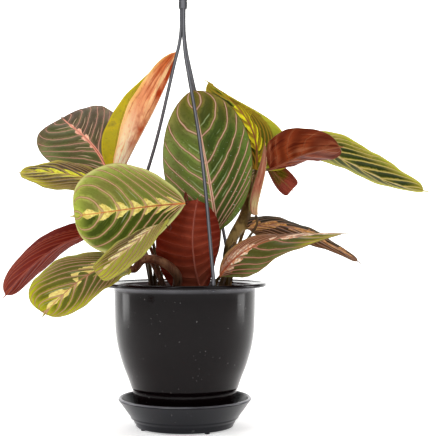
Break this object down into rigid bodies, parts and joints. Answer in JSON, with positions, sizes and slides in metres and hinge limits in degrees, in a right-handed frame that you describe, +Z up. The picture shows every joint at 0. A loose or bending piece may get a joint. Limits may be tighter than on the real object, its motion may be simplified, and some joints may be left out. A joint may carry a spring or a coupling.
{
  "type": "potted plant",
  "caption": "Bushy prayer plant with oval patterned leaves in a tapered hanging pot with a clip-on saucer, held by a stranded hanger with a hook.",
  "frame": {"origin": "where the hook bears on the rod or hook it hangs from, on the pot's axis", "axes": "+Z up, -Y towards the front of the plant as it is pictured, +X to its right"},
  "size_m": [0.3908, 0.2616, 0.4374],
  "materials": {
    "pot_plastic": "gloss",
    "saucer_plastic": "satin",
    "hanger_plastic": "satin",
    "soil": "matte",
    "stem": "satin",
    "leaf_green": "satin",
    "leaf_lime": "satin",
    "leaf_underside": "satin",
    "leaf_young": "satin"
  },
  "bodies": {
    "root": {"pot": "pot_plastic", "saucer": "saucer_plastic", "soil": "soil", "hanger_hook": "hanger_plastic", "hanger_strand_1": "hanger_plastic", "hanger_strand_2": "hanger_plastic", "hanger_strand_3": "hanger_plastic", "shoot_left_front": "stem", "shoot_left_back": "stem", "shoot_centre": "stem", "shoot_right": "stem", "shoot_right_front": "stem", "shoot_back": "stem", "leaf_left_high": "leaf_green", "leaf_young_rolled": "leaf_young", "leaf_left_level": "leaf_lime", "leaf_left_broad": "leaf_green", "leaf_front_drooping": "leaf_lime", "leaf_left_low": "leaf_green", "leaf_left_underside": "leaf_underside", "leaf_centre_tall": "leaf_green", "leaf_centre_underside": "leaf_underside", "leaf_right_tall": "leaf_lime", "leaf_right_folded": "leaf_underside", "leaf_right_underside": "leaf_underside", "leaf_right_long": "leaf_lime", "leaf_right_small": "leaf_underside", "leaf_right_low": "leaf_green", "leaf_right_level": "leaf_green", "leaf_back_tall": "leaf_green", "leaf_back_left": "leaf_green", "leaf_back_low": "leaf_green", "leaf_back_right": "leaf_green", "leaf_back_high": "leaf_green"}
  },
  "joints": []
}
